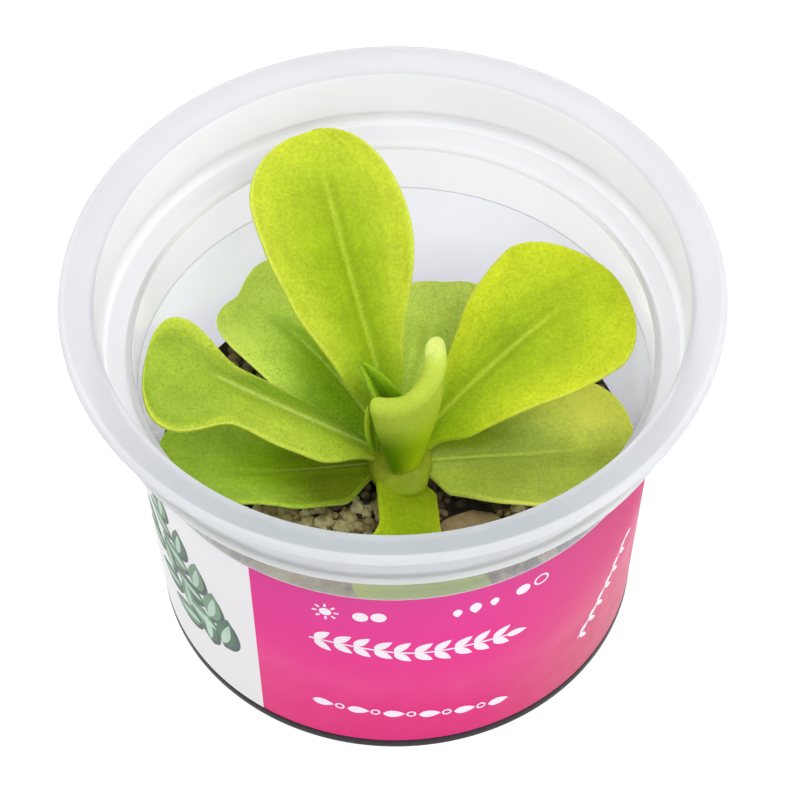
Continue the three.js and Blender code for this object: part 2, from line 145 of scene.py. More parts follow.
# Leaf greens in linear light: near the midrib, towards the margin, at the petiole, along the margin.
# The greens differ from leaf to leaf partly as painted light and shade: the shaded lower right and back left
# leaves are painted lighter, and the small centre leaf darker for the shade in its fold.
GREENS = {
    "leaf_back_tall": ((0.33, 0.48, 0.006), (0.57, 0.67, 0.043), (0.21, 0.38, 0.002), (0.67, 0.77, 0.11)),
    "leaf_right": ((0.34, 0.49, 0.010), (0.60, 0.71, 0.024), (0.27, 0.46, 0.002), (0.66, 0.76, 0.08)),
    "leaf_left": ((0.34, 0.48, 0.032), (0.37, 0.50, 0.055), (0.31, 0.49, 0.006), (0.66, 0.76, 0.09)),
    "leaf_lower_left": ((0.33, 0.53, 0.008), (0.40, 0.58, 0.060), (0.11, 0.15, 0.001), (0.36, 0.52, 0.02)),
    "leaf_lower_right": ((0.48, 0.62, 0.115), (0.84, 0.91, 0.140), (0.19, 0.28, 0.002), (0.88, 0.94, 0.15)),
    "leaf_back_left": ((0.32, 0.52, 0.015), (0.66, 0.88, 0.130), (0.15, 0.30, 0.002), (0.70, 0.90, 0.14)),
    "leaf_back_right": ((0.50, 0.67, 0.085), (0.60, 0.76, 0.125), (0.24, 0.42, 0.006), (0.62, 0.76, 0.14)),
    "leaf_front": ((0.28, 0.41, 0.003), (0.34, 0.45, 0.006), (0.20, 0.27, 0.004), (0.40, 0.50, 0.02)),
    "leaf_small_centre": ((0.12, 0.25, 0.001), (0.24, 0.42, 0.006), (0.07, 0.15, 0.001), (0.28, 0.46, 0.01)),
    "leaf_small_left": ((0.20, 0.38, 0.003), (0.34, 0.52, 0.010), (0.14, 0.28, 0.002), (0.45, 0.62, 0.03)),
}
# The share of its colour that a shaded leaf gives off as a painted glow, standing for daylight through the
# tub's wall.
PAINTED_GLOW = {"leaf_lower_left": 0.08, "leaf_lower_right": 0.13, "leaf_back_left": 0.16, "leaf_back_right": 0.05}
# Leaves in the shade of the leaves over them: painted shade darkens their petioles further up, and painted
# light brings out their outer colour more strongly towards the tip.
SHADED_BASE_LEAVES = ("leaf_lower_left", "leaf_lower_right", "leaf_back_left")
# Where along the leaf its midrib is gone, where it is still whole, how strongly it shows, and how pale it is.
MIDRIB = (0.78, 0.50, 0.45, 0.25)
MIDRIBS = {
    "leaf_back_tall": (0.92, 0.74, 0.45, 0.25), "leaf_right": (0.82, 0.60, 0.50, 0.25),
    "leaf_left": (0.80, 0.62, 0.75, 0.7), "leaf_front": (0.78, 0.50, 0.10, 0.25),
}
# Painted light and shade on single leaves, and on the left leaf's rim also its own paler margin: its share,
# the colour, and where it starts and is whole.
PAINTED_LIGHT_AND_RIM_PATCHES = {
    # painted top light: the tall leaf paler towards its tip
    "leaf_back_tall": [(0.35, (0.70, 0.77, 0.060), ("along", 0.84, 0.98))],
    "leaf_left": [
        # painted shade over the far half of the bowl, short of its margin and the tip
        (0.8, (0.17, 0.32, 0.005), ("side", 0.02, -0.30), ("along", 0.80, 0.50), ("side", -1.0, -0.75)),
        # painted light on the near half, towards the base
        (0.4, (0.54, 0.66, 0.050), ("side", 0.15, 0.6), ("along", 0.75, 0.50)),
        # painted shadow in the crease inside the rolled rim
        (0.35, (0.26, 0.43, 0.010), ("edge_mm", 4.2, 2.6), ("along", 0.62, 0.76)),
        # the rolled rim paler: its own yellow margin and a painted highlight
        (0.8, (0.54, 0.66, 0.060), ("edge_mm", 2.3, 1.0), ("along", 0.55, 0.70)),
        # painted highlight along the far margin towards the tip, which faces the light
        (0.75, (0.57, 0.70, 0.070), ("edge_mm", 4.6, 1.8), ("side", -0.10, -0.45), ("along", 0.66, 0.80)),
    ],
    # painted shade in the fold along the midrib, towards the base
    "leaf_back_left": [(0.4, (0.20, 0.38, 0.006), ("rib_mm", 2.2, 0.5), ("along", 0.90, 0.65))],
    # painted shade over the front part of the leaf
    "leaf_lower_right": [(0.85, (0.36, 0.46, 0.055), ("y", 0.0010, -0.0060))],
}

# The studio. Lengths here are in metres and angles in degrees.
LIGHTS = (  # name, place, size, power
    ("key", (0.34, -0.20, 0.62), 0.6, 2.4),
    ("fill", (-0.38, 0.30, 0.6), 0.6, 1.4),
    ("front", (0.05, -0.62, 0.42), 0.5, 0.5),
)
LIT_POINT = (0, 0, 0.03)
CAMERA = dict(distance=0.62107, down=52.24, tilt=-0.93, aim=0.03298, lens=180, shift=(5.21, 28.01), image=800)


# ---- Small maths ----
def smoothstep(x, low, high):
    t = np.clip((np.asarray(x, float) - low) / (high - low), 0, 1)
    return t * t * (3 - 2 * t)


def mix(a, b, t):
    return a + (b - a) * t


def body_radius(z):
    return TUB["body_radius"] + TUB["taper"] * z


def inner_radius(z):
    return body_radius(z) - TUB["wall"]


# ---- Meshes ----
def placed(name, data):
    made = bpy.data.objects.new(name, data)
    bpy.context.scene.collection.objects.link(made)
    return made


def piece(
    name, points, faces, materials, slot, replaces=(), attributes=None, face_materials=None, smooth=True,
):
    """A closed mesh from points in millimetres, riding on the part's one body."""
    mesh = bpy.data.meshes.new(name)
    mesh.from_pydata([tuple(p) for p in np.asarray(points, float) * MM], [], [tuple(f) for f in faces])
    for material in materials:
        mesh.materials.append(material)
    mesh.polygons.foreach_set("use_smooth", [smooth] * len(mesh.polygons))
    if face_materials is not None:
        mesh.polygons.foreach_set("material_index", face_materials)
    for key, values in (attributes or {}).items():
        mesh.attributes.new(key, "FLOAT", "POINT").data.foreach_set("value", np.asarray(values, np.float32))
    mesh.update()
    made = placed(name, mesh)
    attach(made, "root")
    if replaces:
        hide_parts(*replaces)
    return made


def rounded(profile, radius, steps=3):
    """The same profile with each corner turned into a small curve."""
    points = [Vector(p) for p in profile]
    out = [points[0]]
    for before, corner, after in zip(points, points[1:], points[2:]):
        back, on = before - corner, after - corner
        start = corner + back * min(radius / back.length, 0.45)
        end = corner + on * min(radius / on.length, 0.45)
        for i in range(steps + 1):
            t = i / steps
            out.append(start * (1 - t) ** 2 + corner * 2 * t * (1 - t) + end * t**2)
    return out + [points[-1]]


def circle(radius, segments):
    angles = [2 * math.pi * k / segments for k in range(segments)]
    return [(radius * math.cos(a), radius * math.sin(a)) for a in angles]


def bridge(rows):
    """Faces between closed rows of point numbers. A row may be one number repeated, for a pole."""
    faces = []
    for low, high in zip(rows, rows[1:]):
        for k in range(len(low)):
            n = (k + 1) % len(low)
            faces.append(list(dict.fromkeys([low[k], low[n], high[n], high[k]])))
    return faces


def lathe(profile, segments):
    """Points and faces of a body turned about +Z from (radius, height) points, out and up first."""
    points, rows = [], []
    for radius, height in profile:
        if radius < 1e-6:
            rows.append([len(points)] * segments)
            points.append((0, 0, height))
            continue
        rows.append(range(len(points), len(points) + segments))
        points += [(x, y, height) for x, y in circle(radius, segments)]
    return points, bridge(rows)


def skin(rings, flat_ends=False):
    """Faces over rings of points of equal count, each running out along one face and back along the other,
    and the two caps. Each end of a ring is one point, or with flat_ends two."""
    count = len(rings[0])
    faces = bridge([range(i * count, (i + 1) * count) for i in range(len(rings))])
    last = (len(rings) - 1) * count
    if flat_ends:
        for j in range(count // 2 - 1):
            far = count - 1 - j
            faces.append((j, far, far - 1, j + 1))
            faces.append((last + j, last + j + 1, last + far - 1, last + far))
        return faces
    for j in range(count // 2):
        a, b, c, d = j, (count - j) % count, (count - j - 1) % count, j + 1
        if len({a, b, c, d}) >= 3:
            faces.append(tuple(dict.fromkeys((a, b, c, d))))
            faces.append(tuple(dict.fromkeys((last + d, last + c, last + b, last + a))))
    return faces


# ---- Materials ----
class Nodes:
    """A material's node tree, with short calls for the nodes used here."""

    def __init__(self, name):
        self.material = bpy.data.materials.new(name)
        self.material.use_nodes = True
        self.tree = self.material.node_tree
        self.shader = self.tree.nodes["Principled BSDF"]
        self.position = self.node("ShaderNodeTexCoord").outputs["Object"]

    def node(self, kind, inputs=(), **settings):
        """A new node with these settings, and with a value or a link for each input by its name or number."""
        made = self.tree.nodes.new(kind)
        for key, value in settings.items():
            setattr(made, key, value)
        for key, value in dict(inputs).items():
            self.feed(made.inputs[key], value)
        return made

    def feed(self, socket, value):
        if isinstance(value, bpy.types.NodeSocket):
            self.tree.links.new(value, socket)
        elif socket.type == "RGBA" and len(value) == 3:
            socket.default_value = (*value, 1)
        else:
            socket.default_value = value

    def noise(self, size, detail=3, roughness=0.5, stretch=None):
        """Noise whose blobs are about size millimetres across."""
        where = self.position
        if stretch:
            where = self.node("ShaderNodeMapping", {"Vector": where, "Scale": stretch}).outputs[0]
        made = self.node("ShaderNodeTexNoise", {
            "Vector": where, "Scale": 0.6 / (size * MM), "Detail": detail, "Roughness": roughness,
        })
        return made.outputs["Fac"]

    def cells(self, size):
        """Distance from the nearest of scattered points that are about size millimetres apart."""
        made = self.node("ShaderNodeTexVoronoi", {"Vector": self.position, "Scale": 1 / (size * MM)})
        return made.outputs["Distance"]

    def attribute(self, name):
        return self.node("ShaderNodeAttribute", attribute_name=name).outputs["Fac"]

    def axes(self):
        """The sockets of the position's X, Y and Z, which are in metres."""
        return self.node("ShaderNodeSeparateXYZ", {0: self.position}).outputs

    def maths(self, operation, a, b=0.0):
        return self.node("ShaderNodeMath", {0: a, 1: b}, operation=operation).outputs[0]

    def product(self, first, *others):
        for other in others:
            first = self.maths("MULTIPLY", first, other)
        return first

    def step(self, value, low, high, to_low=0.0, to_high=1.0):
        """Passes smoothly from to_low to to_high as value goes from low to high."""
        inputs = enumerate((value, low, high, to_low, to_high))
        return self.node("ShaderNodeMapRange", inputs, interpolation_type="SMOOTHSTEP").outputs[0]

    def blend(self, share, a, b, mode="MIX"):
        made = self.node("ShaderNodeMix", {0: share, 6: a, 7: b}, data_type="RGBA", blend_type=mode)
        return made.outputs[2]

    def over(self, colour, value, *layers):
        """colour with others laid over it: each is (where value starts it, where it is whole, its colour)."""
        for start, whole, layer in layers:
            colour = self.blend(self.step(value, start, whole), colour, layer)
        return colour

    def tint(self, colour, value, low, high):
        """colour times a grey that goes from low to high with value."""
        level = self.step(value, 0.25, 0.75, low, high)
        grey = self.node("ShaderNodeCombineColor", dict.fromkeys(range(3), level))
        return self.blend(1.0, colour, grey.outputs[0], "MULTIPLY")

    def bump(self, height, distance, strength=1.0, under=None):
        inputs = {"Strength": strength, "Distance": distance * MM, "Height": height}
        if under:
            inputs["Normal"] = under
        return self.node("ShaderNodeBump", inputs).outputs[0]

    def set(self, **sockets):
        for key, value in sockets.items():
            self.feed(self.shader.inputs[key.replace("_", " ")], value)
        return self.material


def leaf_surface(n, colour, light, painted_glow=0.0, grain=1.0):
    """What all leaves share: a velvety ground of fine glands that catch the light as pale dots."""
    dots = n.step(n.cells(0.34), 0.32, 0.10)
    patchy = n.step(n.noise(0.9, detail=2), 0.35, 0.60, 0.25, 1.0)
    dots = n.product(dots, patchy)
    colour = n.blend(n.product(dots, 0.38 * grain), colour, light)
    colour = n.tint(colour, n.noise(0.32, detail=1), 1 - 0.09 * grain, 1 + 0.08 * grain)
    relief = n.bump(n.noise(1.6, detail=2), 0.05, 0.5)
    relief = n.bump(dots, 0.03, 0.5, relief)
    # a shaded leaf gets a painted glow: emission in its own colour
    return n.set(
        Base_Color=colour, Normal=relief, Roughness=n.step(dots, 0.0, 1.0, 0.55, 0.36),
        Subsurface_Weight=0.4, Subsurface_Radius=(0.0024, 0.0028, 0.0006), Subsurface_Scale=1.0,
        Specular_IOR_Level=0.09, Emission_Color=colour, Emission_Strength=painted_glow,
    )


def leaf_material(name):
    centre, outer, petiole, margin = GREENS[name]
    n = Nodes(name + "_tissue")
    along, rib = n.attribute("along"), n.attribute("rib_mm")
    colour = n.blend(n.step(n.attribute("across"), 0.15, 0.95), centre, outer)
    # painted shade on the petioles of the shaded leaves, painted light towards their tips
    if name in SHADED_BASE_LEAVES:
        colour = n.blend(n.step(along, 0.45, 0.8, 0.0, 0.9), colour, outer)
        colour = n.blend(n.step(along, 0.6, 0.25, 0.0, 0.95), colour, petiole)
    else:
        colour = n.blend(n.step(along, 0.5, 1.0, 0.0, 0.6), colour, outer)
        colour = n.blend(n.step(along, 0.4, 0.0, 0.0, 0.85), colour, petiole)
    # painted light and shade on single leaves, and the left leaf's paler rim
    for share, patch, *bounds in PAINTED_LIGHT_AND_RIM_PATCHES.get(name, ()):
        inside = [n.step(n.axes()[1] if key == "y" else n.attribute(key), *ramp) for key, *ramp in bounds]
        colour = n.blend(n.product(*inside, share), colour, patch)
    colour = n.tint(colour, n.noise(3.0, detail=4), 0.92, 1.08)
    # the midrib is a pale line between darker furrows that fades out before the tip
    gone, whole, strength, paleness = MIDRIBS.get(name, MIDRIB)
    lower = n.step(along, gone, whole)
    furrow = n.product(n.step(rib, 0.35, 0.9), n.step(rib, 2.4, 1.0), lower)
    colour = n.blend(n.product(furrow, min(0.45, strength)), colour, [0.72 * c for c in centre])
    pale = [mix(c, g, paleness) for c, g in zip(outer, (0.58, 0.68, 0.20))]
    colour = n.blend(n.product(n.step(rib, 0.5, 0.1), lower, strength), colour, pale)
    on_edge = n.product(n.step(n.attribute("edge_mm"), 0.9, 0.15), n.step(along, 0.15, 0.5, 0.1, 0.6))
    colour = n.blend(on_edge, colour, margin)
    # the underside is duller and paler
    dull = [0.55 * c + 0.16 * g for c, g in zip(outer, (0.6, 0.8, 0.3))]
    colour = n.blend(n.product(n.attribute("under"), 0.6), colour, dull)
    dot = [min(1.0, 1.2 * c + g) for c, g in zip(outer, (0.12, 0.12, 0.03))]
    return leaf_surface(n, colour, dot, PAINTED_GLOW.get(name, 0.0))


def curled_material():
    """The young leaf: pale at the rim and its tip as painted top light and a painted highlight, and deep
    green as painted shade in the fold at the lower left.
    """
    n = Nodes("leaf_curled_tissue")
    up = n.axes()[2]
    # painted shade: deepest green at the lower left, greener towards the right
    colour = n.over((0.10, 0.21, 0.001), n.attribute("side"), (0.05, 0.55, (0.36, 0.50, 0.004)))
    # painted top light: olive at the foot, then paler with height up to the rim
    colour = n.over(
        colour, up, (0.0335, 0.0305, (0.27, 0.33, 0.012)), (0.0385, 0.0465, (0.44, 0.56, 0.050)),
        (0.0465, 0.0515, (0.62, 0.74, 0.110)),
    )
    # painted highlight: a pale band near the tip of the rim
    painted_highlight = n.product(n.step(up, 0.0492, 0.0512), n.step(up, 0.0530, 0.0518), 0.3)
    colour = n.blend(painted_highlight, colour, (0.80, 0.88, 0.42))
    colour = n.tint(colour, n.noise(2.5, detail=3), 0.94, 1.06)
    return leaf_surface(n, colour, (0.66, 0.76, 0.14), grain=0.45)


def gland_material(name):
    """Beads a little lighter than the leaf under them."""
    n = Nodes(name + "_gland")
    centre, outer = (
        [min(0.92, 1.05 * c + more) for c, more in zip(green, (0.03, 0.03, 0.01))]
        for green in GREENS[name][:2]
    )
    if name not in SHADED_BASE_LEAVES:
        centre = [mix(a, b, 0.5) for a, b in zip(centre, outer)]
    colour = n.blend(n.step(n.attribute("along"), 0.35, 0.8), centre, outer)
    colour = n.tint(colour, n.noise(2.0), 0.85, 1.1)
    return n.set(Base_Color=colour, Roughness=0.25, Specular_IOR_Level=0.3)


def crown_material():
    n = Nodes("crown_tissue")
    colour = n.over((0.22, 0.28, 0.008), n.noise(1.5, detail=4), (0.3, 0.7, (0.30, 0.36, 0.016)))
    colour = n.over(colour, n.axes()[1], (-0.0085, -0.0108, (0.24, 0.34, 0.004)))
    return n.set(
        Base_Color=colour, Roughness=0.5, Specular_IOR_Level=0.15, Normal=n.bump(n.noise(0.5), 0.15, 0.5),
        Subsurface_Weight=0.2, Subsurface_Radius=(0.001, 0.001, 0.0004),
    )


def plastic(name, colour, clarity, haze, roughness=0.45, front=None, painted_glow=None, reach=(0.012, 0.042)):
    """Translucent moulded plastic: clarity lets light through, and haze is the size in millimetres of the
    blotches in its gloss. The front, which stands over the label and the mix, may have another colour: darker
    as painted shade, and on the bead lighter as a painted highlight. A painted glow of emission may stand for
    daylight caught between the walls, from the first share at the middle to the second at the sides."""
    n = Nodes(name)
    x, y, _ = n.axes()
    # the front in another colour: darker as painted shade, on the bead lighter as a painted highlight
    if front:
        colour = n.blend(n.step(y, -0.022, -0.046), colour, front)
    # a painted glow of emission, from the middle out to the sides
    if painted_glow:
        aside = n.maths("ABSOLUTE", x)
        n.set(Emission_Color=(0.90, 0.90, 0.93), Emission_Strength=n.step(aside, *reach, *painted_glow))
    cloud = n.noise(9.0, detail=3)
    flow = n.noise(haze, detail=3, stretch=(1.0, 1.0, 0.15))
    colour = n.tint(colour, cloud, 0.985, 1.01)
    return n.set(
        Base_Color=colour, Roughness=n.step(flow, 0.3, 0.7, 0.8 * roughness, 1.2 * roughness),
        Transmission_Weight=clarity, IOR=1.2, Specular_IOR_Level=0.5,
        Normal=n.bump(n.noise(1.6, detail=2), 0.02, 0.25),
    )


def film_surface(n, colour, mottle, roughness, specular, painted_glow_colour, painted_glow):
    colour = n.tint(colour, n.noise(7.0, detail=5), 1 - mottle, 1 + mottle)
    return n.set(
        Base_Color=colour, Roughness=n.step(n.noise(3.0), 0.3, 0.7, *roughness), Specular_IOR_Level=specular,
        Normal=n.bump(n.noise(2.5, detail=2), 0.015, 0.3), Emission_Color=painted_glow_colour, Emission_Strength=painted_glow,
    )


def film(name, colour, roughness, mottle=0.02, painted_glow=0.0):
    roughness = (0.9 * roughness, 1.1 * roughness)
    return film_surface(Nodes(name), colour, mottle, roughness, 0.15, colour, painted_glow)


def label_ink():
    """Magenta print on film, with a painted glow that stands for daylight from inside the tub shining through
    it, more so at the top, and a paler painted reflection towards the right.
    """
    n = Nodes("label_pink")
    x, _, z = n.axes()
    up = n.step(z, 0.003, 0.044)
    # the ink itself a little darker towards the bottom
    ink = n.blend(up, (0.40, 0.010, 0.120), (0.40, 0.013, 0.145))
    # painted glow: daylight from inside the tub, stronger towards the top
    painted_glow_colour = n.blend(up, (0.34, 0.005, 0.075), (0.40, 0.058, 0.190))
    # painted reflection: the glow paler and greyer towards the right side
    painted_glow_colour = n.blend(n.step(x, 0.010, 0.036, 0.0, 0.6), painted_glow_colour, (0.18, 0.125, 0.055))
    return film_surface(n, ink, 0.02, (0.34, 0.42), 0.06, painted_glow_colour, 1.0)


def mix_material():
    n = Nodes("peat")
    colour = n.blend(n.noise(1.2, detail=6), (0.006, 0.005, 0.004), (0.05, 0.038, 0.026))
    relief = n.bump(n.noise(0.7, detail=6, roughness=0.7), 0.6, 0.9)
    return n.set(Base_Color=colour, Roughness=0.92, Normal=relief)


def grit_material():
    n = Nodes("grit")
    colour = n.over(
        (0.03, 0.026, 0.022), n.attribute("shade"), (0.0, 0.45, (0.32, 0.22, 0.10)),
        (0.42, 0.7, (0.50, 0.43, 0.18)), (0.75, 1.0, (0.66, 0.59, 0.31)),
    )
    colour = n.tint(colour, n.noise(0.6, detail=5, roughness=0.65), 0.72, 1.2)
    relief = n.bump(n.noise(0.35, detail=5, roughness=0.7), 0.2, 0.8)
    return n.set(Base_Color=colour, Roughness=0.85, Normal=relief)


# ---- Tub ----
def tub_outline():
    """(radius, height) from the underside's middle, up the outside, over the flange and down the inside."""
    c, half = TUB["corner"], TUB["corner"] / 2
    height, ledge, floor = TUB["height"], TUB["ledge_height"], TUB["floor"]
    collar, flange, mouth, wall = TUB["collar_radius"], TUB["flange_radius"], TUB["mouth_radius"], TUB["wall"]
    swell, bead = TUB["ledge_swell"], height - TUB["bead_drop"]
    foot, rim, ring, hollow = TUB["foot_radius"], TUB["foot_height"], TUB["foot_ring"], TUB["foot_hollow"]
    return [
        # the underside and the foot
        (0, hollow), (ring - hollow, hollow), (ring, 0), (foot - half, 0), (foot, half),
        (foot, rim - half), (foot - half, rim), (body_radius(rim), rim),
        # the ledge and the collar
        (body_radius(ledge - c), ledge - c), (collar, ledge + half), (collar + swell, ledge + c),
        (collar + swell, ledge + 3 * c), (collar, ledge + 4 * c), (collar, bead),
        # the flange and its bead
        (flange - 3 * c, bead + c), (flange - c, bead + half), (flange, bead + c), (flange, height - c),
        (flange - half, height - half), (flange - 3 * half, height), (mouth + 4 * c, height),
        # the mouth and the inside
        (mouth + c, height - c), (mouth, height - TUB["lip_drop"]), (collar - wall - c, ledge + 3 * c),
        (collar - wall - 2 * c, ledge + c), (inner_radius(ledge) + 2 * c, ledge + half),
        (inner_radius(ledge), ledge - half), (inner_radius(floor) + half / 2, floor + 3 * c),
        (inner_radius(floor) - 2 * c, floor + c), (inner_radius(floor) - 6 * c, floor), (0, floor),
    ]


def tub_zone(radius, height, inside):
    """Which of the tub's plastics a place in its outline has."""
    ledge, lip = TUB["ledge_height"], TUB["height"] - TUB["lip_drop"]
    if inside and ledge - 1.3 < height < lip + 0.2:
        return "collar_inside" if height > ledge + 0.8 else "ledge_inside"
    on_ledge = radius > TUB["collar_radius"] + 0.1 and 0.2 < height - ledge < 1.8
    if on_ledge or radius > TUB["flange_radius"] - 0.9:
        return "bead"
    if height < TUB["foot_height"] + 0.1 and radius > TUB["foot_ring"] - 1:
        return "foot"
    if height > TUB["height"] - TUB["bead_drop"] - 0.3:
        return "flange"
    return "collar" if height > ledge - 0.5 else "clear"


def build_tub():
    zones = {
        # clear body: a painted glow towards its sides
        "clear": dict(
            colour=(0.84, 0.84, 0.87), clarity=0.88, haze=5.0, roughness=0.12,
            painted_glow=(0.0, 0.07), reach=(0.0372, 0.0395),
        ),
        # collar: darker at the front as painted shade
        "collar": dict(colour=(0.90, 0.90, 0.925), clarity=0.66, haze=4.0, front=(0.745, 0.77, 0.80)),
        # flange: darker at the front as painted shade
        "flange": dict(colour=(0.80, 0.80, 0.835), clarity=0.62, haze=3.0, front=(0.705, 0.745, 0.77)),
        "foot": dict(colour=(0.035, 0.030, 0.035), clarity=0.1, haze=3.0, roughness=0.3),
        # bead, on the rounded edges and the ledge's swell: less clear and paler as a painted highlight, paler
        # still at the front
        "bead": dict(
            colour=(0.86, 0.86, 0.89), clarity=0.45, haze=3.0, roughness=0.4, front=(0.88, 0.89, 0.915),
        ),
        # collar's inside: a painted glow, stronger towards the sides
        "collar_inside": dict(colour=(0.88, 0.88, 0.905), clarity=0.5, haze=4.0, painted_glow=(0.07, 0.12)),
        # ledge's inside: the same plastic a little darker and without glow, as painted shade
        "ledge_inside": dict(colour=(0.84, 0.84, 0.865), clarity=0.5, haze=4.0),
    }
    outline = rounded(tub_outline(), TUB["rounding"])
    points, faces = lathe(outline, TUB["segments"])
    top = max(range(len(outline)), key=lambda i: outline[i][1])
    bands = []
    for i, (low, high) in enumerate(zip(outline, outline[1:])):
        zone = tub_zone((low[0] + high[0]) / 2, (low[1] + high[1]) / 2, i > top)
        bands += [list(zones).index(zone)] * TUB["segments"]
    plastics = [plastic("tub_" + zone, **look) for zone, look in zones.items()]
    piece("tub_shell", points, faces, plastics, "polypropylene", ["tub"], face_materials=bands)


# ---- Label ----
def label_radius(z, out=0.0):
    return body_radius(z) + LABEL["gap"] + LABEL["thickness"] + out


def build_label():
    bottom, top, thick = LABEL["bottom"], LABEL["top"], LABEL["thickness"]
    middle, segments = (bottom + top) / 2, LABEL["segments"]
    profile = [(label_radius(z), z) for z in (bottom, middle, top)]
    profile = [(profile[0][0] - thick, bottom), *profile, (profile[-1][0] - thick, top)]
    # the last row of points is the first one again
    points, faces = lathe(profile + profile[:1], segments)
    count = len(profile) * segments
    faces = [[v % count for v in f] for f in faces]
    # materials by number, in bands: the lower edge and the outside twice, the upper edge, the inside
    outside = [1 if PANEL[2] < 360 * k / segments - 360 < PANEL[1] - 1.5 else 0 for k in range(segments)]
    white = film("label_white", (0.80, 0.80, 0.82), 0.5)
    # the label's inside, with a painted glow that stands for daylight through the tub
    glowing_inside = film("label_inside", (0.86, 0.86, 0.90), 0.5, painted_glow=0.91)
    piece("label_wrap", points[:count], faces, [label_ink(), white, glowing_inside], "label", ["label"],
          face_materials=outside * 3 + [1] * segments + [2] * segments)


def printed(name, shapes, material, lift=PRINT["lift"]):
    """Thin raised print: each shape is a list of (degrees round the tub, height) corners in order, and small
    enough to follow the label's curve."""
    points, faces = [], []
    for shape in shapes:
        first, count = len(points), len(shape)
        area = sum(a[0] * b[1] - b[0] * a[1] for a, b in zip(shape, shape[1:] + shape[:1]))
        ordered = shape if area > 0 else shape[::-1]
        for out in (lift, lift - PRINT["depth"]):
            for degrees, z in ordered:
                r, a = label_radius(z, out), math.radians(degrees)
                points.append((r * math.cos(a), r * math.sin(a), z))
        faces.append([first + i for i in range(count)])
        faces.append([first + count + i for i in reversed(range(count))])
        for i in range(count):
            k = (i + 1) % count
            faces.append([first + k, first + i, first + count + i, first + count + k])
    piece(name, points, faces, [material], "label", smooth=False)


# ---- Mix ----
def ground(x, y):
    """The height of the mix's soft waves."""
    return MIX["level"] + 0.9 * noise.noise(Vector((x, y, 3)) * 0.22)


def from_crown(x, y):
    return math.hypot(x - CROWN["x"], y - CROWN["y"])


def mix_reach(z):
    return inner_radius(z) - MIX["wall_gap"]


def build_mix():
    bottom, reach, segments = MIX["bottom"], mix_reach(MIX["level"]), MIX["segments"]
    low_reach = mix_reach(bottom) - 0.6
    points, rows = [(0, 0, bottom)], [[0] * segments]
    layers = [(low_reach, bottom), (low_reach + 0.6, bottom + 0.8), (reach, MIX["level"])]
    layers += [(reach * (1 - i / MIX["rings"]), None) for i in range(1, MIX["rings"])]
    for radius, height in layers:
        rows.append(range(len(points), len(points) + segments))
        for x, y in circle(radius, segments):
            z = height
            if z is None:
                z = ground(x, y) + 0.5 * noise.noise(Vector((x, y, 9)) * 0.9)
                z -= 1.6 * float(smoothstep(from_crown(x, y), 6.0, 3.6))
            points.append((x, y, z))
    rows.append([len(points)] * segments)
    points.append((0, 0, MIX["level"] - 1.6))
    piece("mix_bed", points, bridge(rows), [mix_material()], "soil", ["soil"])
    build_grit(reach)


def bare(x, y):
    """Whether no grain lies here: the crown's well, the flat stone and the pit behind it."""
    stone, pit = STONE[2], PIT[2]
    return (
        from_crown(x, y) < CROWN["hole"] + 1.0
        or math.hypot((x - STONE[0]) / (stone[0] + 0.5), (y - STONE[1]) / (stone[1] + 0.5)) < 1
        or math.hypot((x - PIT[0]) / pit[0], (y - PIT[1]) / pit[1]) < 1
    )


def build_grit(reach):
    """Angular grains, tan towards the front and mostly dark elsewhere."""
    rng = random.Random(11)
    points, faces, shade = [], [], []
    ball_points, ball_faces = icosphere()

    def add_grain(x, y, level, scale, turn, tone):
        first, seed = len(points), Vector((rng.random() * 50, rng.random() * 50, rng.random() * 50))
        cuts = [
            (Vector(ball_points[rng.randrange(len(ball_points))]), rng.uniform(*GRAINS["cut_depth"]))
            for _ in range(GRAINS["cuts"])
        ]
        for p in ball_points:
            p = p.copy()
            for way, depth in cuts:
                beyond = p.dot(way) - depth
                if beyond > 0:
                    p -= way * beyond
            bumpy = 1.1 + 0.28 * noise.noise(p * 1.2 + seed) + 0.10 * noise.noise(p * 3.1 + seed)
            q = turn @ Vector((p.x * scale.x, p.y * scale.y, p.z * scale.z)) * bumpy
            points.append((q.x + x, q.y + y, min(q.z + level, MIX["grain_top"])))
            shade.append(tone)
        faces.extend([first + v for v in f] for f in ball_faces)

    places = []
    for i in range(GRAINS["spread"]):
        r = (reach - 0.6) * math.sqrt((i + 0.5) / GRAINS["spread"])
        a = i * math.pi * (3 - math.sqrt(5))
        places.append((r * math.cos(a) + rng.uniform(-0.5, 0.5), r * math.sin(a) + rng.uniform(-0.5, 0.5)))
    for _ in range(GRAINS["extra"]):
        places.append((rng.uniform(*GRAINS["extra_x"]), rng.uniform(*GRAINS["extra_y"])))
    for x, y in places:
        if bare(x, y):
            continue
        size = rng.uniform(*GRAINS["big" if rng.random() < GRAINS["big_share"] else "small"])
        if math.hypot(x, y) + size > reach:
            continue
        scale = Vector([size * rng.uniform(*span) for span in ((0.85, 1.25), (0.75, 1.1), (0.6, 0.9))])
        turn = Matrix.Rotation(rng.uniform(0, 6.28), 3, "Z") @ Matrix.Rotation(rng.uniform(-0.5, 0.5), 3, "X")
        level = min(ground(x, y) + rng.uniform(-0.1, 0.6), MIX["grain_top"] - scale.z)
        tan_share = 0.92 - 0.7 * float(smoothstep(y, -11, -5)) - 0.5 * float(smoothstep(x, 3, 7))
        tone = rng.uniform(0.5, 1.0) if rng.random() < tan_share else rng.uniform(0.0, 0.4)
        add_grain(x, y, level, scale, turn, tone)
    flat = Matrix.Rotation(0.15, 3, "Z") @ Matrix.Rotation(0.12, 3, "X")
    add_grain(STONE[0], STONE[1], STONE[3], Vector((*STONE[2], 1.1)), flat, 0.46)
    piece("mix_grit", points, faces, [grit_material()], "soil", attributes={"shade": shade}, smooth=False)


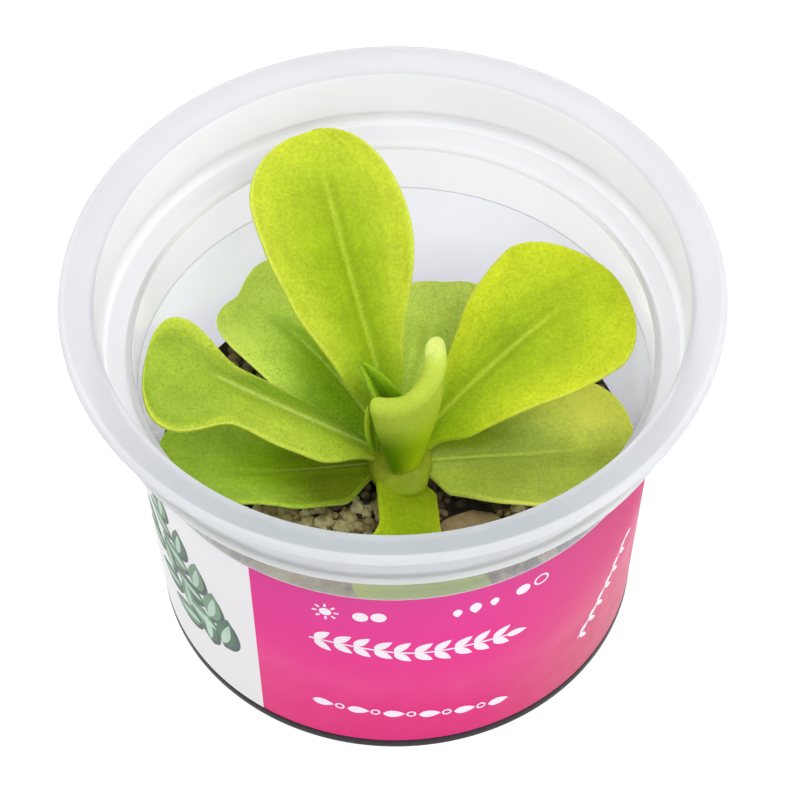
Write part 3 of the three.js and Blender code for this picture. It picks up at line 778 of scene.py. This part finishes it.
def icosphere():
    ball = bmesh.new()
    bmesh.ops.create_icosphere(ball, subdivisions=2, radius=1.0)
    points = [v.co.copy() for v in ball.verts]
    faces = [[v.index for v in f.verts] for f in ball.faces]
    ball.free()
    return points, faces


# ---- Leaves ----
def axes_at(leaf, s):
    heading = np.radians(leaf["heading"] + leaf["bend"] * s)
    rise = np.radians(leaf["rise"] + leaf["arch"] * s)
    along = np.stack([np.cos(rise) * np.cos(heading), np.cos(rise) * np.sin(heading), np.sin(rise)], -1)
    level = np.stack([-np.sin(heading), np.cos(heading), np.zeros_like(heading)], -1)
    roll = np.radians(leaf["roll"] + leaf["twist"] * s)[..., None]
    left = level * np.cos(roll) + np.cross(along, level) * np.sin(roll)
    return along, left, np.cross(along, left)


def rooting(leaf):
    """How far from the crown's axis a leaf grows, where round it in degrees, and how thick."""
    away = CROWN["radius"] + 0.3 + BLADE["root"] / 2 * math.sin(math.radians(leaf["rise"]))
    return SMALL_ROOTS.get(leaf["name"], (away, leaf["heading"], BLADE["root"]))


def midrib(leaf, shares, steps=600):
    away, around, _ = rooting(leaf)
    around = math.radians(around)
    root = np.array([CROWN["x"] + away * math.cos(around), CROWN["y"] + away * math.sin(around), leaf["z"]])
    along, _, _ = axes_at(leaf, (np.arange(steps) + 0.5) / steps)
    course = np.vstack([root, root + np.cumsum(along * leaf["length"] / steps, 0)])
    at = np.asarray(shares) * steps
    return np.stack([np.interp(at, np.arange(steps + 1), course[:, k]) for k in range(3)], -1)


def outline_share(leaf, s):
    wide = leaf["petiole"] + (1 - leaf["petiole"]) * smoothstep(s, leaf["neck"], leaf["widest"])
    beyond = np.clip((s - leaf["widest"]) / (1 - leaf["widest"]), 0, 1)
    tip = (1 - beyond ** leaf["tip"]) ** (1 / leaf["tip"])
    return np.where(s > leaf["widest"], tip, wide)


def blade_point(leaf, s, u):
    """The blade's middle surface at the shares s along and u across (arrays of one shape): point, normal, the
    half-width there and the thickness."""
    q, sign = np.abs(u), np.sign(u)
    full = leaf["width"] / 2 * outline_share(leaf, s) * (1 + leaf["skew"] * sign)
    half_width = mix(np.minimum(leaf["base"], full), full, smoothstep(s, 0, leaf["spread"]))
    half_width = np.maximum(half_width, BLADE["tip_half_width"])
    cup = leaf["cup"] * np.clip(s / BLADE["formed"], BLADE["root_cup"], 1)
    lip = leaf["lip"] * smoothstep(s, BLADE["lip_from"], BLADE["lip_full"])

    def slope(x):
        return np.radians(leaf["fold"] + cup * x + lip * smoothstep(x, BLADE["rim_from"], 1))

    side, lift, steps = np.zeros_like(s), np.zeros_like(s), 24
    for i in range(steps):
        a = slope(q * (i + 0.5) / steps)
        side += half_width * q * np.cos(a) / steps
        lift += half_width * q * np.sin(a) / steps
    phase = np.where(sign > 0, 0, BLADE["right_phase"])
    formed = smoothstep(s, 0, BLADE["formed"])
    lift = lift + leaf["wave"] * np.sin(2 * np.pi * leaf["waves"] * s + phase) * q * q * formed
    _, left, up = axes_at(leaf, s)
    a = slope(q)[..., None]
    normal = up * np.cos(a) - sign[..., None] * left * np.sin(a)
    point = midrib(leaf, s) + left * (sign * side)[..., None] + up * lift[..., None]
    middle = mix(rooting(leaf)[2], BLADE["rib"], formed)
    middle = mix(middle, BLADE["margin"], smoothstep(s, BLADE["thinning"], 1))
    thickness = mix(middle, mix(BLADE["root_margin"], BLADE["margin"], formed), smoothstep(q, 0, 1))
    return point, normal, half_width, thickness


def blade_shares(leaf):
    """Shares of the length for the rows of a blade, closer together round the tip."""
    rows, tip_rows = SURFACE["rows"], SURFACE["tip_rows"]
    even = leaf["widest"] * np.arange(rows) / rows
    around = np.sin(np.pi / 2 * np.arange(tip_rows + 1) / tip_rows)
    return np.concatenate([even, leaf["widest"] + (1 - leaf["widest"]) * around ** (2 / leaf["tip"])])


def blade_sides():
    """Shares of the width from margin to margin, closer together at the midrib and round the margins."""
    flat = SURFACE["flat_share"]
    inner = flat * np.linspace(0, 1, SURFACE["across"]) ** 1.2
    rim = flat + (1 - flat) * np.sin(np.pi / 2 * np.linspace(0, 1, SURFACE["rim_across"])[1:])
    q = np.concatenate([inner, rim])
    return np.concatenate([-q[:0:-1], q])


def rounding_off(distance, least=0.0):
    """The share of its thickness that a blade has at this distance from its margin."""
    near = np.clip(distance / SURFACE["margin_round"], least, 1)
    return np.sqrt(np.clip(1 - (1 - near) ** 2, 0, 1))


def build_leaf(name, values, seed):
    leaf = dict(zip(LEAF_FIELDS, values), name=name)
    s, u = np.meshgrid(blade_shares(leaf), blade_sides(), indexing="ij")
    point, normal, half_width, thickness = blade_point(leaf, s, u)
    rib, edge = np.abs(u) * half_width, (1 - np.abs(u)) * half_width
    half = thickness / 2 * rounding_off(edge) * rounding_off((1 - s) * leaf["length"], 0.03)
    # soft unevenness between the side veins, and a groove over the midrib with its keel below
    offset = Vector((seed * 7.3, seed * 3.1, seed))
    uneven = np.array([
        [noise.noise(Vector((a * leaf["length"] * 0.16, b * 9, 0)) + offset) for a, b in zip(*row)]
        for row in zip(s, u)
    ])
    grown = smoothstep(s, 0.1, 0.5) * smoothstep(rib, 0.2, 3.0)
    point = point + normal * (SURFACE["uneven"] * uneven * grown)[..., None]
    groove = SURFACE["groove"] * np.exp(-((rib / SURFACE["groove_width"]) ** 2)) * smoothstep(s, 0.9, 0.55)
    upper = point + normal * (half - groove)[..., None]
    lower = point - normal * (half + SURFACE["keel"] * groove)[..., None]

    def round_the_ring(below, above):
        return [np.concatenate([low, high[-2:0:-1]]) for low, high in zip(below, above)]

    fields = {"along": s, "across": np.abs(u), "rib_mm": rib, "edge_mm": edge, "side": u}
    attributes = {key: np.concatenate(round_the_ring(grid, grid)) for key, grid in fields.items()}
    attributes["under"] = np.concatenate(round_the_ring(np.ones_like(s), np.zeros_like(s)))
    rings = round_the_ring(lower, upper)
    piece(name + "_blade", np.concatenate(rings), skin(rings), [leaf_material(name)],
          frame_slot(name), [name], attributes=attributes)
    add_glands(leaf, seed)


def frame_slot(name):
    return next(p["material_slot"] for p in frame["record"]["subparts"] if p["node"] == name)


def add_glands(leaf, seed):
    """Stalked glands on the upper face, as small beads that stand off the leaf."""
    rng = np.random.default_rng(seed)
    area = 0.7 * leaf["length"] * leaf["width"]
    count = int(min(GLANDS["most"], GLANDS["per_area"] * area))
    s = rng.uniform(GLANDS["dark_start" if leaf["name"] in SHADED_BASE_LEAVES else "start"], GLANDS["end"], count)
    u = rng.uniform(-GLANDS["end"], GLANDS["end"], count)
    keep = rng.uniform(0, 1, count) < np.clip(outline_share(leaf, s), 0.1, 1)
    s, u = s[keep], u[keep]
    point, normal, _, thickness = blade_point(leaf, s, u)
    radius, height = rng.uniform(*GLANDS["radius"], len(s)), rng.uniform(*GLANDS["height"], len(s))
    base = point + normal * (thickness / 2 - 0.05)[:, None]
    points, faces = [], []
    for b, n, r, h in zip(base, normal, radius, height):
        first, at, axis = len(points), Vector(b), Vector(n)
        side = axis.orthogonal().normalized()
        other = axis.cross(side)
        points += [at, at + axis * (h + 0.1)]
        points += [at + axis * h + (side * x + other * y) * r for x, y in circle(1, 4)]
        for k in range(4):
            i, j = first + 2 + k, first + 2 + (k + 1) % 4
            faces += [[first, j, i], [first + 1, i, j]]
    piece(leaf["name"] + "_glands", points, faces, [gland_material(leaf["name"])],
          frame_slot(leaf["name"]), attributes={"along": np.repeat(s, 6)})


def spline(control, samples=400):
    """The centripetal Catmull-Rom curve through the control points, as a function that gives the point at a
    share of its length and the direction there."""
    pts = [np.array(p, float) for p in control]
    pts = [2 * pts[0] - pts[1]] + pts + [2 * pts[-1] - pts[-2]]
    out = []
    for four in zip(pts, pts[1:], pts[2:], pts[3:]):
        knots = [0.0]
        for near, far in zip(four, four[1:]):
            knots.append(knots[-1] + np.linalg.norm(far - near) ** 0.5)
        for t in np.linspace(knots[1], knots[2], samples, endpoint=False):
            level = four
            for reach in (1, 2):
                level = [
                    (end - t) / (end - start) * a + (t - start) / (end - start) * b
                    for a, b, start, end in zip(level, level[1:], knots, knots[reach:])
                ]
            start, end = knots[1:3]
            out.append((end - t) / (end - start) * level[0] + (t - start) / (end - start) * level[1])
    out.append(pts[-2])
    out = np.array(out)
    length = np.concatenate([[0], np.cumsum(np.linalg.norm(np.diff(out, axis=0), axis=1))])

    def place(where):
        return np.array([np.interp(where, length, out[:, k]) for k in range(3)])

    def at(share):
        where = share * length[-1]
        way = place(where + 0.05) - place(where - 0.05)
        return place(where), way / np.linalg.norm(way)

    return at


def build_curled():
    c = CURLED
    rim, thin = spline(c["rim"]), c["thickness"] / 2
    away = CROWN["radius"] + 0.3 + thin
    angles = np.radians(np.linspace(c["foot_from"], c["foot_to"], c["foot_points"]))
    foot = spline([
        (CROWN["x"] + away * math.cos(a), CROWN["y"] + away * math.sin(a), c["foot_height"]) for a in angles
    ])
    rings, side = [], []
    for v in reversed([i / c["stations"] for i in range(c["stations"] + 1)]):
        low, _ = foot(v)
        high, way = rim(v)
        up = (high - low) / np.linalg.norm(high - low)
        front = np.cross(way, up)
        front /= np.linalg.norm(front)
        inward = min(v, 1 - v, c["rounded_end"]) / c["rounded_end"]
        radius = mix(c["end_radius"], c["rim_radius"], math.sqrt(inward * (2 - inward)))
        swell = max(radius * math.cos(math.radians(c["roll_from"])) - thin, 0)
        outer, inner = [], []
        for q in np.linspace(0, c["highest"], c["heights"]):
            middle = mix(low, high, q ** c["flare"])
            middle[2] = mix(low[2], high[2], q)
            middle = middle + front * c["belly"] * math.sin(math.pi * q)
            outer.append(middle + front * (thin + swell * float(smoothstep(q, c["swell_from"], 1))))
            inner.append(middle - front * thin)
        roll = []
        for k in range(c["turns"]):
            a = math.radians(c["roll_from"] + c["roll_sweep"] * k / (c["turns"] - 1))
            roll.append(high + (front * math.cos(a) + up * math.sin(a)) * radius)
        rings.append(outer + roll + inner[::-1])
        side += [v] * len(rings[0])
    body = piece("leaf_curled_blade", np.concatenate(rings), skin(rings, flat_ends=True), [curled_material()],
                 "leaf_young", ["leaf_curled_centre"], attributes={"side": side})
    smooth = body.modifiers.new("soft", "LAPLACIANSMOOTH")
    smooth.iterations = 4
    smooth.lambda_factor = 0.4


def build_crown():
    top, bottom, r, root = CROWN["top"], CROWN["bottom"], CROWN["radius"], CROWN["root_radius"]
    profile = rounded([
        (0, bottom), (0.5 * root, bottom + 0.5), (0.8 * root, bottom + 2.5), (root, bottom + 7),
        (root, MIX["level"]), *((r + out, z) for out, z in SHEATH), (r, top - 0.6), (0.8 * r, top), (0, top),
    ], 0.8, 5)
    points, faces = lathe(profile, CROWN["segments"])
    # the sheath swells and rises towards the front leaf
    front = math.radians(LEAVES["leaf_front"][1])
    swollen = []
    for x, y, z in points:
        facing = max(0.0, math.cos(math.atan2(y, x) - front)) ** 3
        here = float(smoothstep(z, 26.6, 28.6) * smoothstep(z, 31.8, 29.6))
        out = 1 + here * (0.50 * facing + 0.05 * noise.noise(Vector((x, y, z)) * 0.5))
        swollen.append((x * out + CROWN["x"], y * out + CROWN["y"], z + 0.45 * here * facing))
    piece("crown_stem", swollen, faces, [crown_material()], "crown", ["crown"])


# ---- Print on the label ----
def round_about(degrees, z, radius, angles):
    """Points on a circle of this radius in millimetres round a place on the label."""
    turn = math.degrees(1 / label_radius(z))
    return [(degrees + radius * turn * math.cos(a), z + radius * math.sin(a)) for a in angles]


def disc(degrees, z, radius, corners=28):
    return round_about(degrees, z, radius, [2 * math.pi * k / corners for k in range(corners)])


def ring(degrees, z, radius, width):
    return line(round_about(degrees, z, radius, np.linspace(0, 2 * math.pi, 33)), width)


def strip(course, widths):
    """Quads along a course of (degrees, height) points, each point with its width in millimetres. A wide
    strip has several lanes, so that it follows the label's curve."""
    turn = math.degrees(1 / label_radius(25))
    flat = [Vector((d / turn, z)) for d, z in course]
    lanes = math.ceil(max(widths) / 1.5)
    rows = []
    for i, p in enumerate(flat):
        way = (flat[min(i + 1, len(flat) - 1)] - flat[max(i - 1, 0)]).normalized()
        across = Vector((-way.y, way.x)) * max(widths[i], 0.04) / 2
        rows.append([p + across * (1 - 2 * k / lanes) for k in range(lanes + 1)])
    return [
        [(v.x * turn, v.y) for v in (near[k], near[k + 1], far[k + 1], far[k])]
        for near, far in zip(rows, rows[1:]) for k in range(lanes)
    ]


def line(course, width):
    return strip(course, [width] * len(course))


def leaflet(degrees, z, length, width, lean, curve=0.0, steps=8):
    """A pointed leaf from its stalk outwards, leaning lean degrees from level."""
    turn = math.degrees(1 / label_radius(z))
    course, widths, x, y = [], [], degrees / turn, z
    for i in range(steps + 1):
        t = i / steps
        course.append((x * turn, y))
        widths.append(width * math.sin(math.pi * t**0.8) ** 0.8 if 0 < i < steps else 0)
        a = math.radians(lean + curve * t)
        x, y = x + length / steps * math.cos(a), y + length / steps * math.sin(a)
    return strip(course, widths)


def drop(degrees, z, size):
    return leaflet(degrees, z + 1.1 * size, 2.2 * size, 1.5 * size, -90)


def garland(start, end, count, length, width, wave=0.35):
    """A thin stem with leaves in pairs."""
    def at(t):
        return mix(start[0], end[0], t), mix(start[1], end[1], t) + wave * math.sin(9 * t)

    shapes = line([at(t) for t in np.linspace(0, 1, 40)], 0.1 * length)
    for i in range(count):
        degrees, z = at((i + 0.3) / count)
        for side in (1, -1):
            shapes += leaflet(degrees, z + 0.1 * side, length, width, side * (54 - 6 * (i % 2)), -18 * side)
    return shapes + leaflet(*at(1), length, width, -6)


def build_print():
    """The white panel and generic marks: a sun, drops, dots, garlands, a chain of seeds and two boughs."""
    bottom, top = LABEL["bottom"] + 0.05, LABEL["top"] - 0.05
    panel, steps = [], 48
    for i in range(steps):
        high = [mix(PANEL[0], PANEL[2], (i + k) / steps) for k in (0, 1)]
        low = [mix(PANEL[1], PANEL[2], (i + k) / steps) for k in (0, 1)]
        panel.append([(low[0], bottom), (high[0], top), (high[1], top), (low[1], bottom)])
    printed("print_panel", panel, film("print_white", (0.80, 0.79, 0.81), 0.38))
    ink = film("print_pale", (0.86, 0.78, 0.86), 0.38)
    sun = [disc(-105.6, 38.7, 0.95)]
    for k in range(8):
        a = math.pi / 4 * k
        reach = [(-105.6 + r * 1.4 * math.cos(a), 38.7 + r * math.sin(a)) for r in (1.35, 2.1)]
        sun += line(reach, 0.36)
    dots = [disc(-98.0, 38.6, 1.2), disc(-94.1, 38.8, 1.2), disc(-62.2, 39.2, 1.2)]
    drops = drop(-77.2, 38.3, 0.95) + drop(-73.2, 38.7, 1.25) + drop(-68.9, 38.9, 0.95)
    printed("print_signs", sun + dots + ring(-57.7, 39.6, 1.15, 0.3) + drops, ink)
    printed("print_garland", garland((-109.8, 30.2), (-65.5, 27.6), 10, 3.5, 1.6), ink)
    chain = []
    for i in range(11):
        degrees, z = mix(-108.0, -66.5, i / 10), mix(11.6, 8.8, i / 10)
        chain += leaflet(degrees - 2.4, z, 3.4, 1.9, -3) if i % 2 == 0 else ring(degrees, z, 0.62, 0.3)
    printed("print_chain", chain, ink)
    printed("print_twig", garland((-43.5, 13.0), (-27.0, 27.5), 6, 2.4, 1.1, 0.0), ink)
    build_sprig()


def bough(tones, at, count, lean, size):
    """Oval leaves set alternately on a thin stem, each over its own shadow, added to each tone's shapes."""
    tones["dark"] += line([at(t) for t in np.linspace(0, 1, 24)], 0.5)
    for i in range(count):
        t = (i + 0.3) / count
        degrees, z = at(t)
        side = 1 if i % 2 else -1
        turned, long = lean + side * (50 - 10 * t), size * (1 - 0.25 * t)
        tones["deep"] += leaflet(degrees + 0.7, z - 0.8, long, 0.54 * long, turned, -14 * side)
        tones["mid" if i % 3 else "dark"] += leaflet(degrees, z, long, 0.50 * long, turned, -14 * side)
        glint = leaflet(degrees - 0.3, z + 0.3, 0.82 * long, 0.2 * long, turned + 6 * side, -14 * side)
        tones["pale"] += glint
    tones["mid"] += leaflet(*at(1), 0.7 * size, 0.3 * size, lean)


def build_sprig():
    """Two boughs on the white panel, each tone a little over the one before."""
    inks = {
        "deep": (0.075, 0.110, 0.105), "dark": (0.085, 0.170, 0.110),
        "mid": (0.17, 0.31, 0.19), "pale": (0.46, 0.62, 0.50),
    }
    tones = {tone: [] for tone in inks}
    bough(tones, lambda t: (-138 - 20 * t, 12 + 16 * t - 1.5 * math.sin(3 * t)), 6, 140, 8.0)
    bough(tones, lambda t: (-134 - 22 * t + 2.5 * math.sin(3 * t), 14 + 23 * t), 9, 122, 8.8)
    for step, (tone, shapes) in enumerate(tones.items()):
        ink = film("print_" + tone, inks[tone], 0.4, 0.15)
        printed("print_bough_" + tone, shapes, ink, 0.08 + 0.02 * step)


# ---- Build ----
build_tub()
build_label()
build_mix()
build_crown()
for number, (leaf_name, leaf_values) in enumerate(LEAVES.items()):
    build_leaf(leaf_name, leaf_values, number + 1)
build_curled()
build_print()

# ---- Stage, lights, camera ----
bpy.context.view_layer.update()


def build_stage():
    floor, reach = bpy.data.meshes.new("floor"), 4.0
    corners = [(-reach, -reach, 0), (reach, -reach, 0), (reach, reach, 0), (-reach, reach, 0)]
    floor.from_pydata(corners, [], [(0, 1, 2, 3)])
    n = Nodes("floor_paper")
    n.set(Base_Color=n.tint((0.35, 0.35, 0.35), n.noise(40.0), 0.99, 1.01), Roughness=0.9,
          Emission_Color=(1.0, 1.0, 1.0), Emission_Strength=0.84)
    floor.materials.append(n.material)
    made = placed("floor", floor)


def build_lights():
    world = bpy.data.worlds.new("studio")
    bpy.context.scene.world = world
    world.use_nodes = True
    background = world.node_tree.nodes["Background"].inputs
    background["Color"].default_value, background["Strength"].default_value = (1.0, 1.0, 1.0, 1), 0.6
    for name, place, size, power in LIGHTS:
        light = bpy.data.lights.new(name, "AREA")
        light.shape, light.size, light.energy = "DISK", size, power
        made = placed(name, light)
        made.location = place
        made.rotation_mode = "QUATERNION"
        made.rotation_quaternion = (Vector(LIT_POINT) - Vector(place)).to_track_quat("-Z", "Y")


def build_camera():
    """The photograph's view: 52 degrees down, from the front, with the object's axis near the middle."""
    down, tilt = math.radians(CAMERA["down"]), math.radians(CAMERA["tilt"])
    forward = Vector((0, math.cos(down), -math.sin(down)))
    level = Vector((1, 0, 0))
    over = level.cross(forward)
    right = level * math.cos(tilt) + over * math.sin(tilt)
    up = over * math.cos(tilt) - level * math.sin(tilt)
    data = bpy.data.cameras.new("camera")
    data.sensor_width, data.lens = 36, CAMERA["lens"]
    data.shift_x, data.shift_y = (pixels / CAMERA["image"] for pixels in CAMERA["shift"])
    data.clip_start, data.clip_end = 0.01, 20
    camera = bpy.context.scene.camera = placed("camera", data)
    place = Vector((0, 0, CAMERA["aim"])) - forward * CAMERA["distance"]
    turn = Matrix((right, up, -forward)).transposed()
    camera.matrix_world = Matrix.Translation(place) @ turn.to_4x4()


build_stage()
build_lights()
build_camera()
bpy.context.scene.view_settings.view_transform = "Standard"
